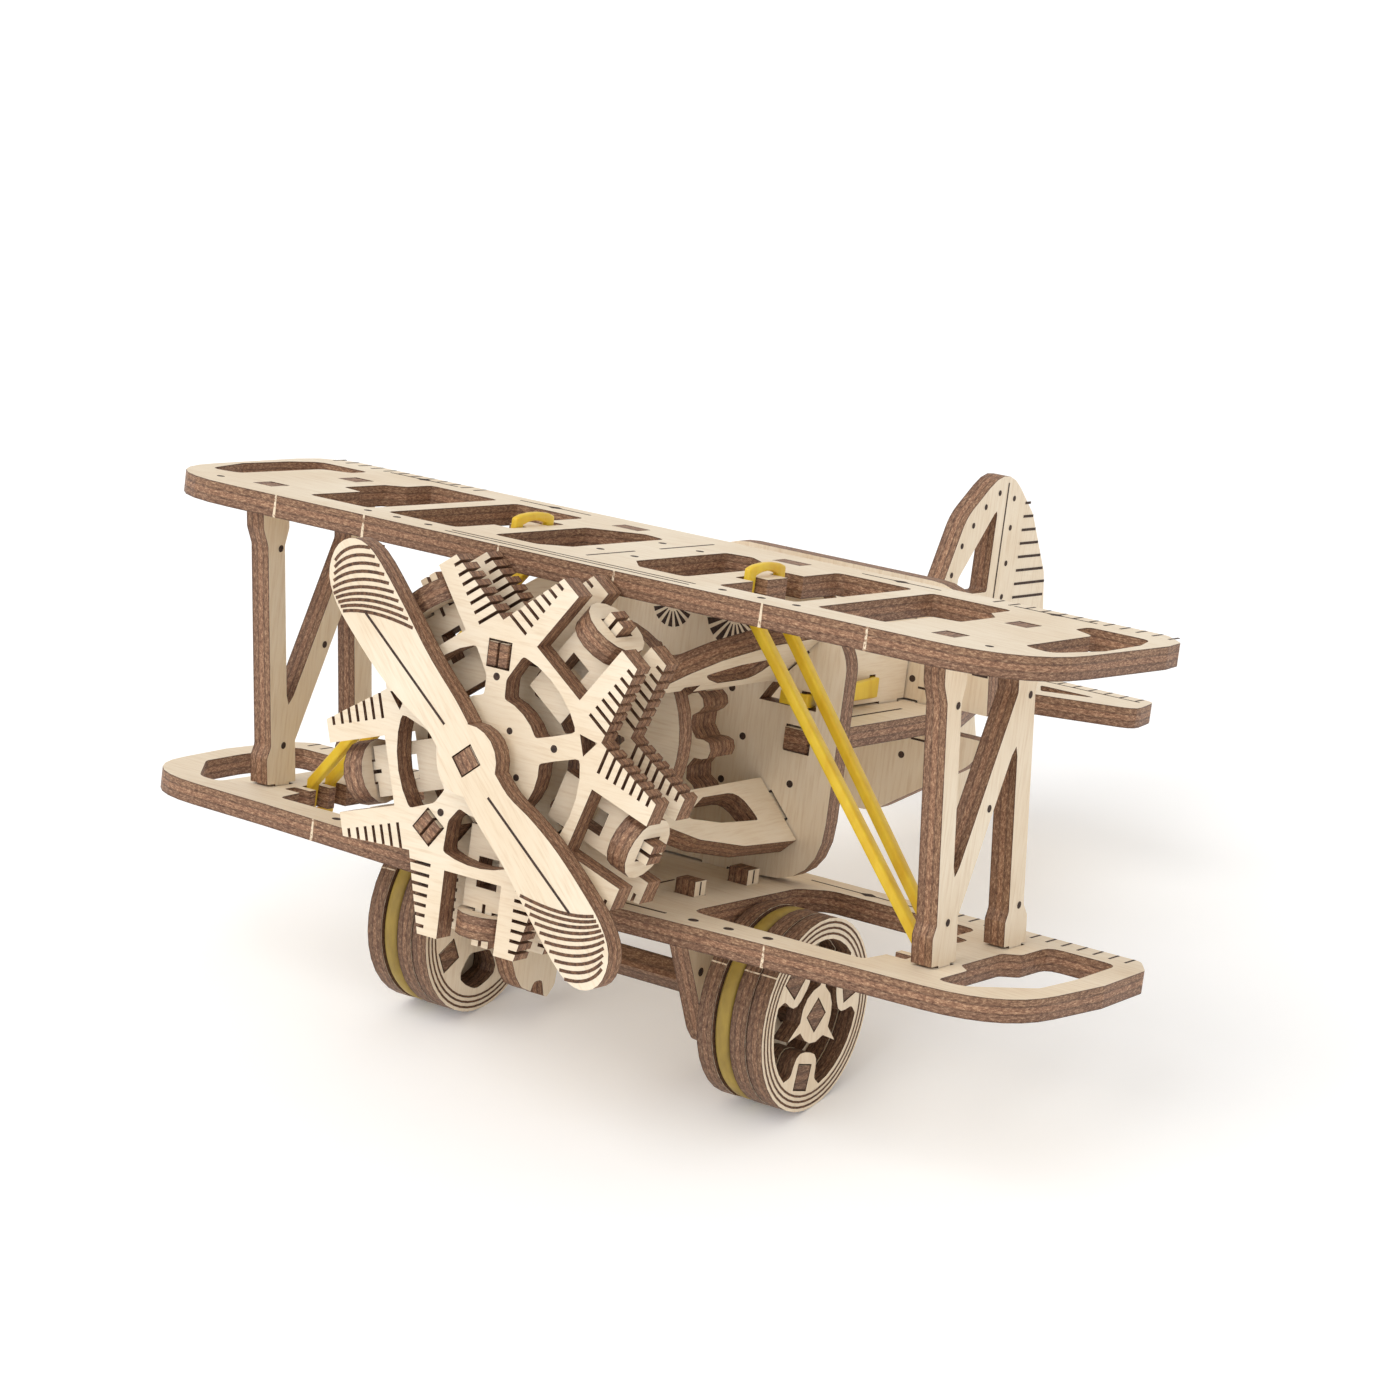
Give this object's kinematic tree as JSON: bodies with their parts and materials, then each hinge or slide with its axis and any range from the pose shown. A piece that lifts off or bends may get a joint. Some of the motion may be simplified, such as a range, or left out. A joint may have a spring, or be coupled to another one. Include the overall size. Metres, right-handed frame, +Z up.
{
  "type": "biplane scale model",
  "caption": "Laser-cut plywood biplane model with two wings, dummy radial engine, turning propeller and turning wheels on an axle.",
  "frame": {"origin": "on the ground under the middle of the model's overall box", "axes": "+X towards the right wing tip, -Y towards the propeller, +Z up, standing nose-up on wheels and skid"},
  "size_m": [0.1428, 0.1508, 0.0756],
  "materials": {
    "plywood": "bare birch plywood with scorched laser-cut edges",
    "rubber": "satin translucent rubber band",
    "tyre": "satin rubber ring"
  },
  "bodies": {
    "airframe": {"bracing_band_left": "rubber", "bracing_band_right": "rubber", "cowl_petal_lower_left": "plywood", "cowl_petal_lower_right": "plywood", "cowl_petal_upper_left": "plywood", "cowl_petal_upper_right": "plywood", "engine_disc": "plywood", "engine_tie_1": "plywood", "engine_tie_2": "plywood", "engine_tie_3": "plywood", "fin": "plywood", "front_bulkhead": "plywood", "front_star_plate": "plywood", "fuselage_band_left": "rubber", "fuselage_band_right": "rubber", "fuselage_side_left": "plywood", "fuselage_side_right": "plywood", "interplane_strut_left": "plywood", "interplane_strut_right": "plywood", "landing_leg_left": "plywood", "landing_leg_right": "plywood", "lower_wing": "plywood", "piston_cap_1": "plywood", "piston_cap_2": "plywood", "piston_cap_3": "plywood", "piston_cap_4": "plywood", "piston_cap_5": "plywood", "piston_plate_1": "plywood", "piston_plate_2": "plywood", "piston_plate_3": "plywood", "piston_plate_4": "plywood", "piston_plate_5": "plywood", "rear_former_lower": "plywood", "rear_former_upper": "plywood", "rear_star_plate": "plywood", "tail_deck": "plywood", "tail_skid": "plywood", "upper_wing": "plywood"},
    "propeller_group": {"propeller": "plywood", "prop_shaft": "plywood", "shaft_gear": "plywood"},
    "wheelset": {"tyre_left": "tyre", "tyre_right": "tyre", "wheel_axle": "plywood", "wheel_backing_left": "plywood", "wheel_backing_right": "plywood", "wheel_core_left": "plywood", "wheel_core_right": "plywood", "wheel_disc_left": "plywood", "wheel_disc_right": "plywood", "wheel_hub_left": "plywood", "wheel_hub_right": "plywood", "wheel_pin_left_1": "plywood", "wheel_pin_left_2": "plywood", "wheel_pin_left_3": "plywood", "wheel_pin_right_1": "plywood", "wheel_pin_right_2": "plywood", "wheel_pin_right_3": "plywood", "wheel_rim_left": "plywood", "wheel_rim_right": "plywood"}
  },
  "joints": [
    {"name": "propeller_spin", "type": "hinge", "parent": "airframe", "child": "propeller_group", "pos_m": [0, -0.04269, 0.0456], "axis": [0, 0.9744, -0.225], "continuous": true},
    {"name": "wheel_spin", "type": "hinge", "parent": "airframe", "child": "wheelset", "pos_m": [0, -0.03841, 0.013], "axis": [1, 0, 0], "continuous": true}
  ]
}
